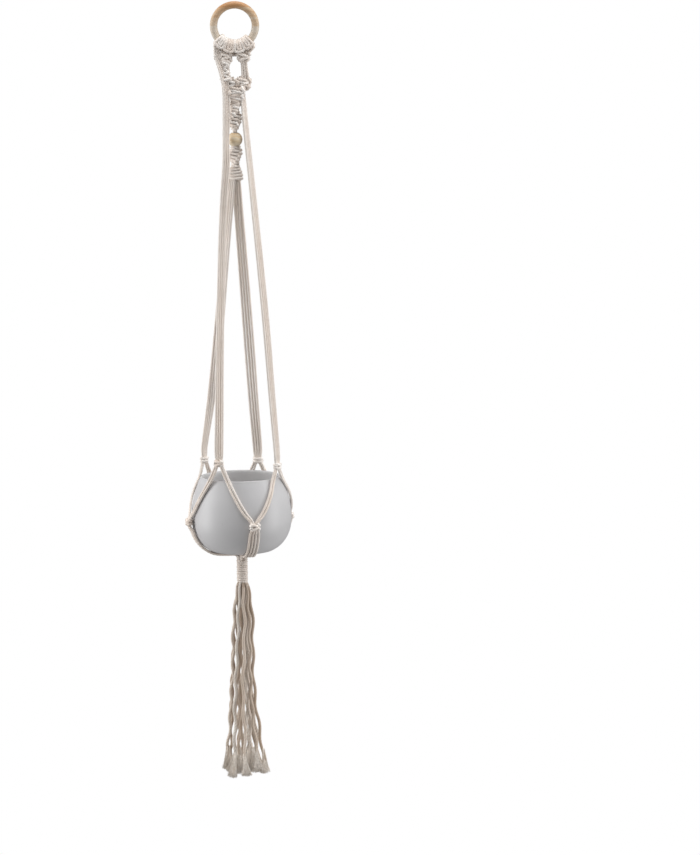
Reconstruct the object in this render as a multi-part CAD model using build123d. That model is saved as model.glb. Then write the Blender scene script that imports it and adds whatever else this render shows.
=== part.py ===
from build123d import *
import math
import os

# A hanging macrame planter: a wooden ring, eight folded cotton cords knotted into a sling, a threaded
# wooden bead, a ceramic pot, a gathering wrap and a tassel.
# Millimetres. The origin is the hanging point, the inside top of the ring. +X is to the right,
# +Y to the back and +Z up. Azimuths turn about the pot's axis from the front towards the right.

# ---- driving dimensions ----
cord_diameter = 3.5
cord_pitch = 3.6  # between the middles of cords that lie side by side
working_gap = 0.4  # between a cord and a body that moves past it
knot_edge = 1.2  # rounding of a knot's block

ring_outside_diameter = 66.0
ring_wood_diameter = 10.0
larks_head_angles = (-43.0, -15.0, 12.5, 38.5)  # from the ring's bottom towards the right
larks_head_span = 25.0  # degrees of the ring under one lark's head
larks_head_thickness = 3.4

shoulder_top, shoulder_bottom = -61.2, -71.2
yoke_top = -96.0
yoke_bottom = -131.0
middle_x = -1.5  # the column of spirals and bead hangs a little left of the ring's middle
bead_diameter = 20.0
bead_height = -176.0
bead_bore_diameter = 8.0
bead_core_diameter = 7.9
spiral_end = -231.0

pot_rim_height = -632.0
pot_widest_height = -690.0
pot_base_height = -735.0
pot_rim_radius = 54.0
pot_widest_radius = 67.5
pot_base_radius = 30.0
pot_wall = 4.0
pot_lip = 1.2

rim_knot_radius = 57.0
rim_knots = {  # azimuth, height of the knot's middle
    "front_left": (-30.0, -608.0),
    "front_right": (60.0, -616.0),
    "back_right": (157.0, -619.0),
    "back_left": (240.0, -614.0),
}
belly_knots = {"front": 15.0, "right": 117.0, "back": 195.0, "left": 285.0}
belly_knot_height = -692.0
sling_gap = 1.1  # slack between the pot and the cords that run over it

gather_radius = 11.0
gather_top, gather_bottom = -735.8, -740.4
wrap_top, wrap_bottom = -745.0, -778.0
wrap_radius = 7.25
wrap_core_radius = 5.4

# ---- worked-out sizes ----
cord_radius = cord_diameter / 2
wood_radius = ring_wood_diameter / 2
ring_radius = ring_outside_diameter / 2 - wood_radius
ring_middle = Vector(0, 0, wood_radius - ring_radius)
bead_half_length = math.sqrt((bead_diameter / 2) ** 2 - (bead_bore_diameter / 2) ** 2)
row_of_four = [cord_pitch * (i - 1.5) for i in range(4)]


def at(azimuth, radius, height, sideways=0.0):
    """The point at an azimuth round the pot's axis, moved sideways along the tangent."""
    turn = math.radians(azimuth)
    out = Vector(math.sin(turn), -math.cos(turn), 0) * radius
    along = Vector(math.cos(turn), math.sin(turn), 0) * sideways
    return out + along + Vector(0, 0, height)


def corner_radii(points):
    """The largest tangent arc that each corner of a route allows."""
    radii = []
    for before, corner, after in zip(points, points[1:], points[2:]):
        run_in, run_out = corner - before, after - corner
        half_turn = math.radians(run_in.get_angle(run_out)) / 2
        radii.append(0.45 * min(run_in.length, run_out.length) / math.tan(half_turn))
    return radii


def cord(points, diameter=cord_diameter):
    """A round cord along straight runs that are joined by tangent arcs."""
    points = [Vector(p) for p in points]
    if len(points) == 2:
        path = Line(*points)
    else:
        path = FilletPolyline(*points, radius=corner_radii(points))
    section = Plane(origin=path @ 0, z_dir=path % 0) * Circle(diameter / 2)
    return sweep(section, path=path)


def trimmed(piece, *cutters):
    """The largest part of a cord that is left outside the knots it enters."""
    for cutter in cutters:
        piece = piece - cutter
        piece = max(piece.solids(), key=lambda s: s.volume)
    return piece


def knot(middle, width, depth, height, azimuth=0.0, edge=knot_edge):
    """A square knot as a block with rounded edges, its width along the tangent."""
    block = fillet(Box(width, depth, height).edges(), edge)
    return Location(middle, (0, 0, azimuth)) * block


def hanging_ring():
    return Location(ring_middle, (90, 0, 0)) * Torus(ring_radius, wood_radius)


def larks_head(angle):
    """Four wraps side by side round the ring, as one sleeve, with the crossing loop on its front."""
    skin = Circle(wood_radius + larks_head_thickness) - Circle(wood_radius + 0.05)
    section = Plane.XY * Location((ring_radius, 0, 0)) * skin
    sleeve = revolve(section, Axis.Y, larks_head_span)
    loop_width, loop_depth, loop_height = 12.0, 2.6, 4.2
    loop = fillet(Box(loop_height, loop_depth, loop_width).edges(), 0.9)
    middle_turn = larks_head_span / 2
    reach = ring_radius + wood_radius - 1.0
    loop = Location((0, 0, 0), (0, middle_turn, 0)) * Location((reach, -wood_radius - 2.6, 0)) * loop
    loop = loop - Torus(ring_radius, wood_radius + 0.05).rotate(Axis.X, 90)
    head = sleeve + loop
    # Azimuth 0 of this sleeve lies along +X; the ring's bottom is a quarter turn further.
    head = head.rotate(Axis.Y, 90 - angle - middle_turn)
    return Location(ring_middle) * head


def spiral_sennit(top, bottom, width, turn_per_knot, end_width=None, end_depth=None):
    """Half knots stacked down the core, each turned a little further than the one above."""
    knot_height = 4.4
    count = round((top - bottom) / knot_height)
    step = (top - bottom) / count
    body = None
    for i in range(count):
        wide, deep = width, 9.0
        if end_width and i == count - 1:
            wide, deep = end_width, end_depth
        plate = extrude(SlotOverall(wide, deep), step)
        place = Location((middle_x, 0, top - step * (i + 1)), (0, 0, turn_per_knot * i))
        body = place * plate if body is None else body + place * plate
    return body


def wooden_bead():
    ball = Sphere(bead_diameter / 2) - Cylinder(bead_bore_diameter / 2, bead_diameter)
    return Location((middle_x, 0, bead_height)) * ball


def pot_radius(height):
    """The pot's outside radius at a height between its base and its rim."""
    if height >= pot_widest_height:
        rise = pot_rim_height - pot_widest_height
        inset = pot_widest_radius - pot_rim_radius
        arc = (rise**2 + inset**2) / (2 * inset)
        return pot_widest_radius - arc + math.sqrt(arc**2 - (height - pot_widest_height) ** 2)
    fall = (pot_widest_height - height) / (pot_widest_height - pot_base_height)
    return pot_base_radius + (pot_widest_radius - pot_base_radius) * math.sqrt(1 - min(fall, 1.0) ** 2)


def pot_outline(inset, floor):
    """Half of the pot's section, drawn in by inset from its outside and standing on floor."""
    rim_half_way = (pot_rim_height + pot_widest_height) / 2
    rim = (pot_rim_radius - inset, pot_rim_height)
    side = (pot_radius(rim_half_way) - inset, rim_half_way)
    widest = (pot_widest_radius - inset, pot_widest_height)
    shoulder = ThreePointArc(rim, side, widest)
    bowl = EllipticalCenterArc(
        (pot_base_radius - inset, pot_widest_height),
        pot_widest_radius - pot_base_radius,
        pot_widest_height - floor,
        start_angle=270,
        arc_size=90,
    )
    base = Line((pot_base_radius - inset, floor), (0, floor))
    axis = Line((0, floor), (0, pot_rim_height))
    top = Line((0, pot_rim_height), rim)
    return Plane.XZ * make_face([shoulder, bowl, base, axis, top])


def pot():
    outside = revolve(pot_outline(0, pot_base_height), Axis.Z)
    inside = revolve(pot_outline(pot_wall, pot_base_height + pot_wall + 1.0), Axis.Z)
    shell = outside - inside
    lip_edges = shell.edges().filter_by(GeomType.CIRCLE).group_by(Axis.Z)[-1]
    return fillet(lip_edges, pot_lip)


def over_pot(azimuth, height, sideways=0.0):
    """Where the middle of a cord lies when it rests over the pot at that azimuth and height."""
    return at(azimuth, pot_radius(height) + cord_radius + sling_gap, height, sideways)


def sling_arm(rim_name, belly_name, rim_block, belly_block):
    """Two cords from a rim knot, over the pot's shoulder, into the belly knot beside it."""
    rim_azimuth, rim_height = rim_knots[rim_name]
    belly_azimuth = belly_knots[belly_name]
    span = (belly_azimuth - rim_azimuth + 180) % 360 - 180
    side = 1 if span > 0 else -1
    start_azimuth, start_height = rim_azimuth + side * 3.5, rim_height - 3
    end_azimuth = rim_azimuth + span - side * 3.0
    end_height = belly_knot_height + 3
    slope = math.atan2(end_height - start_height, math.radians(abs(span)) * pot_widest_radius)
    cords = []
    for lane in (-0.5, 0.5):
        across = -lane * cord_pitch * 1.04 * math.sin(slope) * side
        up = lane * cord_pitch * 1.04 * math.cos(slope)
        points = []
        for share in (0.0, 0.24, 0.44, 0.63, 0.82, 1.0):
            azimuth = start_azimuth + (end_azimuth - start_azimuth) * share
            height = start_height + (end_height - start_height) * share + up
            if height > pot_rim_height:
                radius = rim_knot_radius + share * 6
                points.append(at(azimuth, radius, height, across))
            else:
                points.append(over_pot(azimuth, height, across))
        cords.append(trimmed(cord(points), rim_block, belly_block))
    return cords


def base_cords(azimuth, belly_block, gather_block):
    """Four cords side by side, down the pot's lower wall and under its base to the middle."""
    reach = pot_widest_radius - pot_base_radius + cord_radius + sling_gap
    drop = pot_widest_height - pot_base_height + cord_radius + sling_gap
    cords = []
    for sideways in row_of_four:
        points = [at(azimuth, pot_widest_radius + cord_radius + sling_gap, belly_knot_height, sideways)]
        for angle in (22, 41, 59, 77):
            turn = math.radians(angle)
            radius = pot_base_radius + reach * math.cos(turn)
            points.append(at(azimuth, radius, pot_widest_height - drop * math.sin(turn), sideways))
        under = pot_base_height - cord_radius - sling_gap
        points.append(at(azimuth, pot_base_radius - 4, under, sideways))
        points.append(at(azimuth, gather_radius - 6, under - 0.15, sideways))
        cords.append(trimmed(cord(points), belly_block, gather_block))
    return cords


def leg(top_middle, rim_name, *upper_points, cutters):
    """Four taut cords side by side, down to a rim knot."""
    azimuth, height = rim_knots[rim_name]
    cords = []
    for sideways in row_of_four:
        shift = at(azimuth, 0, 0, sideways)
        points = [Vector(p) + shift for p in (top_middle, *upper_points)]
        points.append(at(azimuth, rim_knot_radius, height, sideways))
        cords.append(trimmed(cord(points), *cutters))
    return cords


# The tassel's sixteen strands, from under the wrap to their brushed-out ends.
tassel_routes = [
    [(7.7, 0.0, -783), (10.6, 0.8, -811), (13.0, -1.6, -850), (12.4, 2.4, -889), (14.0, -0.6, -933),
     (20.2, 1.4, -980), (26.0, -0.6, -1026)],
    [(5.9, 4.9, -783), (8.4, 6.4, -813), (10.6, 7.6, -852), (9.2, 9.8, -892), (11.6, 9.2, -935),
     (15.4, 11.8, -981), (18.6, 14.6, -1027)],
    [(1.3, 7.6, -783), (2.4, 10.2, -810), (3.6, 12.2, -847), (2.0, 13.6, -888), (4.4, 15.4, -931),
     (5.4, 18.2, -977), (7.4, 21.8, -1022)],
    [(-3.9, 6.7, -783), (-4.8, 9.4, -812), (-6.4, 11.8, -853), (-5.2, 12.4, -893), (-6.8, 15.2, -937),
     (-7.2, 17.4, -983), (-9.6, 20.4, -1028)],
    [(-7.2, 2.6, -783), (-10.2, 4.0, -811), (-12.6, 5.6, -848), (-13.8, 7.0, -887), (-17.0, 8.2, -932),
     (-17.6, 10.2, -979), (-20.2, 13.0, -1025)],
    [(-7.2, -2.6, -783), (-10.4, -2.8, -810), (-14.0, -3.6, -851), (-12.8, -1.8, -891),
     (-19.4, -1.2, -934), (-20.6, -3.2, -978), (-25.2, -1.8, -1021)],
    [(-3.9, -6.7, -783), (-5.4, -9.0, -813), (-7.4, -11.0, -854), (-9.6, -10.2, -894),
     (-12.4, -12.4, -936), (-13.0, -14.6, -981), (-14.4, -18.8, -1026)],
    [(1.3, -7.6, -783), (1.4, -10.6, -812), (2.2, -13.2, -850), (-0.6, -14.2, -890), (-1.8, -16.2, -935),
     (1.2, -18.8, -982), (0.4, -22.6, -1028)],
    [(5.9, -4.9, -783), (7.6, -7.2, -810), (9.4, -9.4, -849), (8.8, -11.2, -888), (9.6, -12.6, -932),
     (13.2, -14.0, -977), (17.0, -17.2, -1021)],
    [(3.7, 1.3, -783), (5.4, 1.6, -812), (7.2, 1.0, -853), (6.4, 3.4, -892), (8.2, 2.2, -936),
     (12.2, 2.6, -982), (16.0, 4.4, -1027)],
    [(0.7, 3.8, -783), (1.4, 5.4, -811), (1.6, 6.8, -849), (0.8, 8.4, -889), (2.4, 9.2, -933),
     (4.0, 10.0, -979), (4.6, 13.2, -1024)],
    [(-3.0, 2.5, -783), (-4.2, 3.8, -813), (-5.0, 5.4, -852), (-6.6, 5.2, -893), (-7.4, 8.0, -937),
     (-6.6, 8.6, -983), (-9.0, 9.8, -1028)],
    [(-3.7, -1.3, -783), (-5.4, -1.4, -811), (-7.4, -1.6, -850), (-6.8, -3.2, -890), (-10.6, -3.8, -934),
     (-11.8, -4.4, -979), (-15.0, -6.8, -1023)],
    [(-0.7, -3.8, -783), (-1.4, -5.4, -812), (-2.4, -6.8, -851), (-2.0, -8.6, -891), (-3.6, -9.0, -935),
     (-2.8, -11.0, -980), (-4.6, -13.4, -1025)],
    [(3.0, -2.5, -783), (4.0, -3.6, -810), (5.2, -4.8, -848), (5.8, -5.2, -888), (6.4, -6.6, -932),
     (8.0, -6.4, -978), (10.0, -9.2, -1023)],
    [(0.0, 0.0, -783), (0.2, 0.4, -811), (-0.6, -0.8, -850), (0.8, 0.6, -890), (-0.4, -1.4, -934),
     (1.2, 0.6, -981), (0.2, 2.0, -1027)],
]


def build():
    """Every node of the planter, by name, as a list of its solids."""
    nodes = {"hanging_ring": [hanging_ring()]}
    for number, angle in enumerate(larks_head_angles, 1):
        nodes[f"larks_head_{number}"] = [larks_head(angle)]

    # Shoulders: the left one closes into a sennit and a leg, the right one into eight smooth cords.
    shoulder_height = (shoulder_top + shoulder_bottom) / 2
    shoulder_depth, shoulder_size = 8.0, shoulder_top - shoulder_bottom
    left = knot((-14.5, 0, shoulder_height), 18.0, shoulder_depth, shoulder_size)
    right = knot((12.0, 0, shoulder_height), 16.0, shoulder_depth + 3, shoulder_size)
    nodes["shoulder_knot_left"] = [left]
    nodes["shoulder_knot_right"] = [right]

    sennit_knots = 5
    sennit_height = (shoulder_bottom - yoke_top) / sennit_knots
    sennit = None
    for i in range(sennit_knots):
        middle = (-9.9 + 0.4 * i, 0, shoulder_bottom - sennit_height * (i + 0.5))
        block = Location(middle) * Box(7.6 - 1.0 * (i % 2), 6.0, sennit_height)
        sennit = block if sennit is None else sennit + block
    nodes["shoulder_sennit_left"] = [sennit]

    # Yoke: square knots set alternately, each of a row between two of the row above.
    rows = (yoke_top, -107.7, -119.4, yoke_bottom)
    yoke = [
        knot((-5.1, 0, (rows[0] + rows[1]) / 2), 15.0, 9.0, rows[0] - rows[1]),
        knot((11.4, 0, (rows[0] + rows[1]) / 2), 17.4, 10.0, rows[0] - rows[1]),
        knot((1.6, 0, (rows[1] + rows[2]) / 2), 23.0, 9.4, rows[1] - rows[2]),
        knot((-1.7, 0, (rows[2] + rows[3]) / 2), 15.0, 9.0, rows[2] - rows[3]),
    ]
    for number, block in enumerate(yoke, 1):
        nodes[f"yoke_knot_{number}"] = [block]

    # Eight cords in a ring of places round an empty middle, tight together.
    places = [(i, j) for i in (-1, 0, 1) for j in (-1, 0, 1) if (i, j) != (0, 0)]
    nodes["shoulder_cords_right"] = [
        trimmed(
            cord([(11.3 + i * cord_pitch, j * cord_pitch, shoulder_height),
                  (12.4 + i * cord_pitch, j * cord_pitch, rows[0] - 3)]),
            right, yoke[1])
        for i, j in places
    ]

    # Column of spirals with the bead between them.
    bead_top, bead_foot = bead_height + bead_half_length, bead_height - bead_half_length
    upper_end, lower_start = bead_top + 0.6, bead_foot - 0.6
    nodes["spiral_sennit_upper"] = [spiral_sennit(yoke_bottom, upper_end, 15.0, 28)]
    nodes["spiral_sennit_lower"] = [spiral_sennit(lower_start, spiral_end, 17.0, 24, 24.0, 17.0)]
    nodes["wooden_bead"] = [wooden_bead()]
    core_middle = (middle_x, 0, (upper_end + lower_start) / 2)
    nodes["bead_core_cords"] = [
        Location(core_middle) * Cylinder(bead_core_diameter / 2, upper_end - lower_start)
    ]

    # Legs, rim knots, arms, belly knots and the cords under the pot.
    rim_blocks = {
        name: knot(at(azimuth, rim_knot_radius, height), 15.4, 6.0, 8.0, azimuth)
        for name, (azimuth, height) in rim_knots.items()
    }
    belly_middle = pot_widest_radius + working_gap + 3.2
    belly_blocks = {
        name: knot(at(azimuth, belly_middle, belly_knot_height), 16.0, 6.4, 9.0, azimuth)
        for name, azimuth in belly_knots.items()
    }
    sennit_end = nodes["spiral_sennit_lower"][0]
    nodes["leg_front_left"] = leg(
        (-18.6, -3.2, shoulder_height), "front_left", (-15.4, -6.4, -106.0),
        cutters=(left, rim_blocks["front_left"]))
    nodes["leg_front_right"] = leg(
        (11.8, -1.2, rows[2] + 3), "front_right", cutters=(yoke[2], rim_blocks["front_right"]))
    nodes["leg_back_left"] = leg(
        (-7.3, -0.6, spiral_end + 2.2), "back_left", cutters=(sennit_end, rim_blocks["back_left"]))
    nodes["leg_back_right"] = leg(
        (3.4, 3.6, spiral_end + 2.2), "back_right", cutters=(sennit_end, rim_blocks["back_right"]))

    arms_of = {
        "front_left": ("left", "front"),
        "front_right": ("front", "right"),
        "back_right": ("right", "back"),
        "back_left": ("back", "left"),
    }
    gather = Cylinder(gather_radius, gather_top - gather_bottom)
    gather = fillet(gather.edges(), knot_edge)
    gather = Location((0, 0, (gather_top + gather_bottom) / 2)) * gather
    for rim_name, belly_pair in arms_of.items():
        nodes[f"rim_knot_{rim_name}"] = [rim_blocks[rim_name]]
        nodes[f"sling_arms_{rim_name}"] = [
            piece
            for belly_name in belly_pair
            for piece in sling_arm(rim_name, belly_name, rim_blocks[rim_name], belly_blocks[belly_name])
        ]
    for name, azimuth in belly_knots.items():
        nodes[f"belly_knot_{name}"] = [belly_blocks[name]]
        nodes[f"base_cords_{name}"] = base_cords(azimuth, belly_blocks[name], gather)
    nodes["base_gather"] = [gather]
    nodes["pot"] = [pot()]

    # The wrap round the gathered cords, and the free tassel strands.
    wrap_length = wrap_top - wrap_bottom
    wrap_middle = Location((0, 0, (wrap_top + wrap_bottom) / 2))
    core = Cylinder(wrap_core_radius, wrap_length)
    shell = fillet(Cylinder(wrap_radius, wrap_length).edges(), knot_edge) - core
    nodes["gathering_wrap"] = [wrap_middle * shell]
    nodes["wrap_core_cords"] = [wrap_middle * core]
    for number, route in enumerate(tassel_routes, 1):
        nodes[f"tassel_strand_{number:02d}"] = [cord(route)]
    return nodes


def report_cords():
    """Prints each strand's length and radii, so that a route that is too tight shows."""
    for number, route in enumerate(tassel_routes, 1):
        points = [Vector(p) for p in route]
        length = sum((b - a).length for a, b in zip(points, points[1:]))
        radii = " ".join(f"{radius:.0f}" for radius in corner_radii(points))
        print(f"tassel_strand_{number:02d}: length {length:.0f} mm, radii {radii} mm")


if __name__ == "__main__":
    os.makedirs("parts", exist_ok=True)
    nodes = build()
    for name, solids in nodes.items():
        pieces = [solid for piece in solids for solid in piece.solids()]
        shape = pieces[0] if len(pieces) == 1 else Compound(pieces)
        export_step(shape, f"parts/{name}.step")
    report_cords()
    print(len(nodes), "nodes")
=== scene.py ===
import math

import bmesh
import bpy
import numpy as np
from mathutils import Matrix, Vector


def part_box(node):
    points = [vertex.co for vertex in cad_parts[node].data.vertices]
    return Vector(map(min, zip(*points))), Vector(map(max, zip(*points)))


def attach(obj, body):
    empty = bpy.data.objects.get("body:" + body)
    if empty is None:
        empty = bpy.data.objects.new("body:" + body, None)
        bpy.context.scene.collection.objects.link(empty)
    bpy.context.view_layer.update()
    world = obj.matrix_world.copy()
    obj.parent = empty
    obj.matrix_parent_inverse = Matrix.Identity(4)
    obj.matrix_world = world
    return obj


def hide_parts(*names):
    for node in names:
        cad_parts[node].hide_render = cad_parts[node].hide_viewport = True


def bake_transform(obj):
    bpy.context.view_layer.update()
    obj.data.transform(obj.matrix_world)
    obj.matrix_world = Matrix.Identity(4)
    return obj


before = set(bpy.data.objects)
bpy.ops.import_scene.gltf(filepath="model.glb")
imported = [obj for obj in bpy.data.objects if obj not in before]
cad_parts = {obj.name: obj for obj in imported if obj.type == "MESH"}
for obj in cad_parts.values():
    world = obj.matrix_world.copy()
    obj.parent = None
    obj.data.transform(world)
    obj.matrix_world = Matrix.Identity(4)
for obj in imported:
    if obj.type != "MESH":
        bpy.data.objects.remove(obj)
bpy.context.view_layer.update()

# The looks of a hanging macrame planter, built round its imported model.
# Metres. The origin is the inside top of the wooden ring, +X right, +Y back, +Z up.
# Azimuths turn about the pot's axis from the front towards the right.

mm = 0.001
chance = np.random.default_rng(7)

# ---- sizes that the whole planter shares ----
cord_diameter = 3.5 * mm
cord_radius = cord_diameter / 2
cord_pitch = 3.6 * mm  # between the middles of cords that lie side by side
cord_lay = 12.5 * mm  # length in which one ply goes once round the cord
skin_step = 1.2 * mm  # between rings of a cord's skin
section_points = 16
groove_depth = 0.18  # of a cord's radius, between its plies
pulled_tight = 0.4  # a knot flattens the plies, so their grooves are shallower
knot_bulge = 1.14  # and its cord bulges
strand_thickness = (1.05, 1.18, 1.22, 1.18, 1.24, 1.2, 1.24, 1.22, 1.25, 1.2, 0.95)  # loose cord swells

ring_low, ring_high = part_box("hanging_ring")
wood_radius = (ring_high.y - ring_low.y) / 2
ring_radius = (ring_high.x - ring_low.x) / 2 - wood_radius
ring_middle = np.array((ring_low + ring_high) / 2)
larks_head_angles = (-40.5, -14.5, 11.5, 35.5)  # from the ring's bottom towards the right

pot_low, pot_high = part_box("pot")
pot_rim_height = pot_high.z
pot_base_height = pot_low.z
pot_widest_radius = (pot_high.x - pot_low.x) / 2
pot_widest_height = pot_rim_height - 58 * mm
pot_rim_radius = 54 * mm
pot_base_radius = 30 * mm
pot_wall = 4 * mm

rim_knots = {  # azimuth, height of the knot's middle
    "front_left": (-30.0, -0.608),
    "front_right": (60.0, -0.616),
    "back_right": (157.0, -0.619),
    "back_left": (240.0, -0.614),
}
rim_knot_radius = 57 * mm
belly_knots = {"front": 15.0, "right": 117.0, "back": 195.0, "left": 285.0}
belly_knot_height = -0.692
belly_knot_radius = 72.9 * mm
sling_gap = 1.1 * mm  # slack between the pot and the cords that run over it
row_of_four = [cord_pitch * (i - 1.5) for i in range(4)]


def add_to_scene(name, data):
    made = bpy.data.objects.new(name, data)
    bpy.context.scene.collection.objects.link(made)
    return made


# ---- camera ----
def make_camera():
    """A very long lens, far back and looking slightly down, with the planter left of centre."""
    looking_down = 8.3026
    leaning = 0.7095
    data = bpy.data.cameras.new("camera")
    camera = add_to_scene("camera", data)
    camera.location = (0.16949, -12.0, 1.18283)
    camera.rotation_euler = (math.radians(90 - looking_down), math.radians(leaning), 0)
    data.lens = 379.16
    data.sensor_width = 36
    bpy.context.scene.camera = camera


make_camera()

# ---- the tassel's strands: listed routes, from under the wrap to the brushed-out ends ----
tassel_routes = [
    [(0.0077, 0, -0.783), (0.0124, 0.0008, -0.805), (0.013, -0.0016, -0.85),
     (0.0124, 0.0024, -0.889), (0.014, -0.0006, -0.933), (0.0202, 0.0014, -0.98),
     (0.026, -0.0006, -1.026)],
    [(0.0059, 0.0049, -0.783), (0.0084, 0.0064, -0.813), (0.0106, 0.0076, -0.852),
     (0.0092, 0.0098, -0.892), (0.0116, 0.0092, -0.935), (0.0154, 0.0118, -0.981),
     (0.0186, 0.0146, -1.027)],
    [(0.0013, 0.0076, -0.783), (0.0024, 0.0102, -0.81), (0.0036, 0.0122, -0.847),
     (0.002, 0.0136, -0.888), (0.0044, 0.0154, -0.931), (0.0054, 0.0182, -0.977),
     (0.0074, 0.0218, -1.022)],
    [(-0.0039, 0.0067, -0.783), (-0.0048, 0.0094, -0.812), (-0.0064, 0.0118, -0.853),
     (-0.0052, 0.0124, -0.893), (-0.0068, 0.0152, -0.937), (-0.0072, 0.0174, -0.983),
     (-0.0096, 0.0204, -1.028)],
    [(-0.0072, 0.0026, -0.783), (-0.0102, 0.004, -0.811), (-0.0126, 0.0056, -0.848),
     (-0.0138, 0.007, -0.887), (-0.017, 0.0082, -0.932), (-0.0176, 0.0102, -0.979),
     (-0.0202, 0.013, -1.025)],
    [(-0.0072, -0.0026, -0.783), (-0.0104, -0.0028, -0.81), (-0.014, -0.0036, -0.851),
     (-0.0138, -0.0018, -0.891), (-0.0176, -0.0012, -0.934), (-0.0196, -0.0032, -0.978),
     (-0.0252, -0.0018, -1.021)],
    [(-0.0039, -0.0067, -0.783), (-0.0054, -0.009, -0.813), (-0.0074, -0.011, -0.854),
     (-0.0096, -0.0102, -0.894), (-0.0124, -0.0124, -0.936), (-0.013, -0.0146, -0.981),
     (-0.0144, -0.0188, -1.026)],
    [(0.0013, -0.0076, -0.783), (0.0014, -0.0106, -0.812), (0.0022, -0.0132, -0.85),
     (-0.0006, -0.0142, -0.89), (-0.0018, -0.0162, -0.935), (0.0012, -0.0188, -0.982),
     (0.0004, -0.0226, -1.028)],
    [(0.0059, -0.0049, -0.783), (0.0076, -0.0072, -0.81), (0.0094, -0.0094, -0.849),
     (0.0088, -0.0112, -0.888), (0.0096, -0.0126, -0.932), (0.0132, -0.014, -0.977),
     (0.017, -0.0172, -1.021)],
    [(0.0037, 0.0013, -0.783), (0.0054, 0.0016, -0.812), (0.0072, 0.001, -0.853),
     (0.0064, 0.0034, -0.892), (0.0082, 0.0022, -0.936), (0.0122, 0.0026, -0.982),
     (0.016, 0.0044, -1.027)],
    [(0.0007, 0.0038, -0.783), (0.0014, 0.0054, -0.811), (0.0016, 0.0068, -0.849),
     (0.0008, 0.0084, -0.889), (0.0024, 0.0092, -0.933), (0.004, 0.01, -0.979),
     (0.0046, 0.0132, -1.024)],
    [(-0.003, 0.0025, -0.783), (-0.0042, 0.0038, -0.813), (-0.005, 0.0054, -0.852),
     (-0.0066, 0.0052, -0.893), (-0.0074, 0.008, -0.937), (-0.0066, 0.0086, -0.983),
     (-0.009, 0.0098, -1.028)],
    [(-0.0037, -0.0013, -0.783), (-0.0054, -0.0014, -0.811), (-0.0074, -0.0016, -0.85),
     (-0.0068, -0.0032, -0.89), (-0.0106, -0.0038, -0.934), (-0.0118, -0.0044, -0.979),
     (-0.015, -0.0068, -1.023)],
    [(-0.0007, -0.0038, -0.783), (-0.0014, -0.0054, -0.812), (-0.0024, -0.0068, -0.851),
     (-0.002, -0.0086, -0.891), (-0.0036, -0.009, -0.935), (-0.0028, -0.011, -0.98),
     (-0.0046, -0.0134, -1.025)],
    [(0.003, -0.0025, -0.783), (0.004, -0.0036, -0.81), (0.0052, -0.0048, -0.848),
     (0.0058, -0.0052, -0.888), (0.0064, -0.0066, -0.932), (0.008, -0.0064, -0.978),
     (0.01, -0.0092, -1.023)],
    [(0, 0, -0.783), (0.0002, 0.0004, -0.811), (-0.0006, -0.0008, -0.85),
     (0.0008, 0.0006, -0.89), (-0.0004, -0.0014, -0.934), (0.0012, 0.0006, -0.981),
     (0.0002, 0.002, -1.027)],
]


# ---- lines and skins of cord ----
def smooth_line(points):
    """Points along the smooth curve that has the given points as its control points."""
    curve = bpy.data.curves.new("route", "CURVE")
    curve.dimensions = "3D"
    curve.resolution_u = 14
    spline = curve.splines.new("NURBS")
    spline.points.add(len(points) - 1)
    for control, point in zip(spline.points, points):
        control.co = (*point, 1.0)
    spline.order_u = 3
    spline.use_endpoint_u = True
    holder = bpy.data.objects.new("route", curve)
    mesh = bpy.data.meshes.new_from_object(holder)
    line = np.array([vertex.co for vertex in mesh.vertices])
    bpy.data.objects.remove(holder)
    bpy.data.curves.remove(curve)
    bpy.data.meshes.remove(mesh)
    return line


def unit(vector):
    return np.asarray(vector, float) / max(np.linalg.norm(vector), 1e-12)


def distances_along(line):
    return np.concatenate([[0.0], np.cumsum(np.linalg.norm(np.diff(line, axis=0), axis=1))])


def evenly_spaced(line, step):
    """The same line with its points a step apart, and how far along it each one is."""
    along = distances_along(line)
    wanted = np.linspace(0, along[-1], max(int(round(along[-1] / step)), 4) + 1)
    return np.stack([np.interp(wanted, along, line[:, i]) for i in range(3)], axis=1), wanted


def carried_frames(line):
    """Two directions square to the line at each point, that don't spin as it bends."""
    tangents = np.gradient(line, axis=0)
    tangents /= np.linalg.norm(tangents, axis=1)[:, None]
    side = np.cross(tangents[0], (0, 1, 0) if abs(tangents[0][1]) < 0.9 else (1, 0, 0))
    sides = np.empty_like(line)
    for i, tangent in enumerate(tangents):
        side = unit(side - tangent * side.dot(tangent))
        sides[i] = side
    return sides, np.cross(tangents, sides)


def tube_faces(rows, around):
    """Four-sided faces between the rings of a tube."""
    start = np.arange(rows - 1)[:, None] * around
    k = np.arange(around)[None, :]
    here = start + k
    after = start + (k + 1) % around
    return np.stack([here, after, after + around, here + around], axis=-1).reshape(-1, 4)


def smooth_piece(name, mesh, material):
    """A smoothly shaded object with one material."""
    mesh.polygons.foreach_set("use_smooth", [True] * len(mesh.polygons))
    mesh.materials.append(material)
    return add_to_scene(name, mesh)


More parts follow.
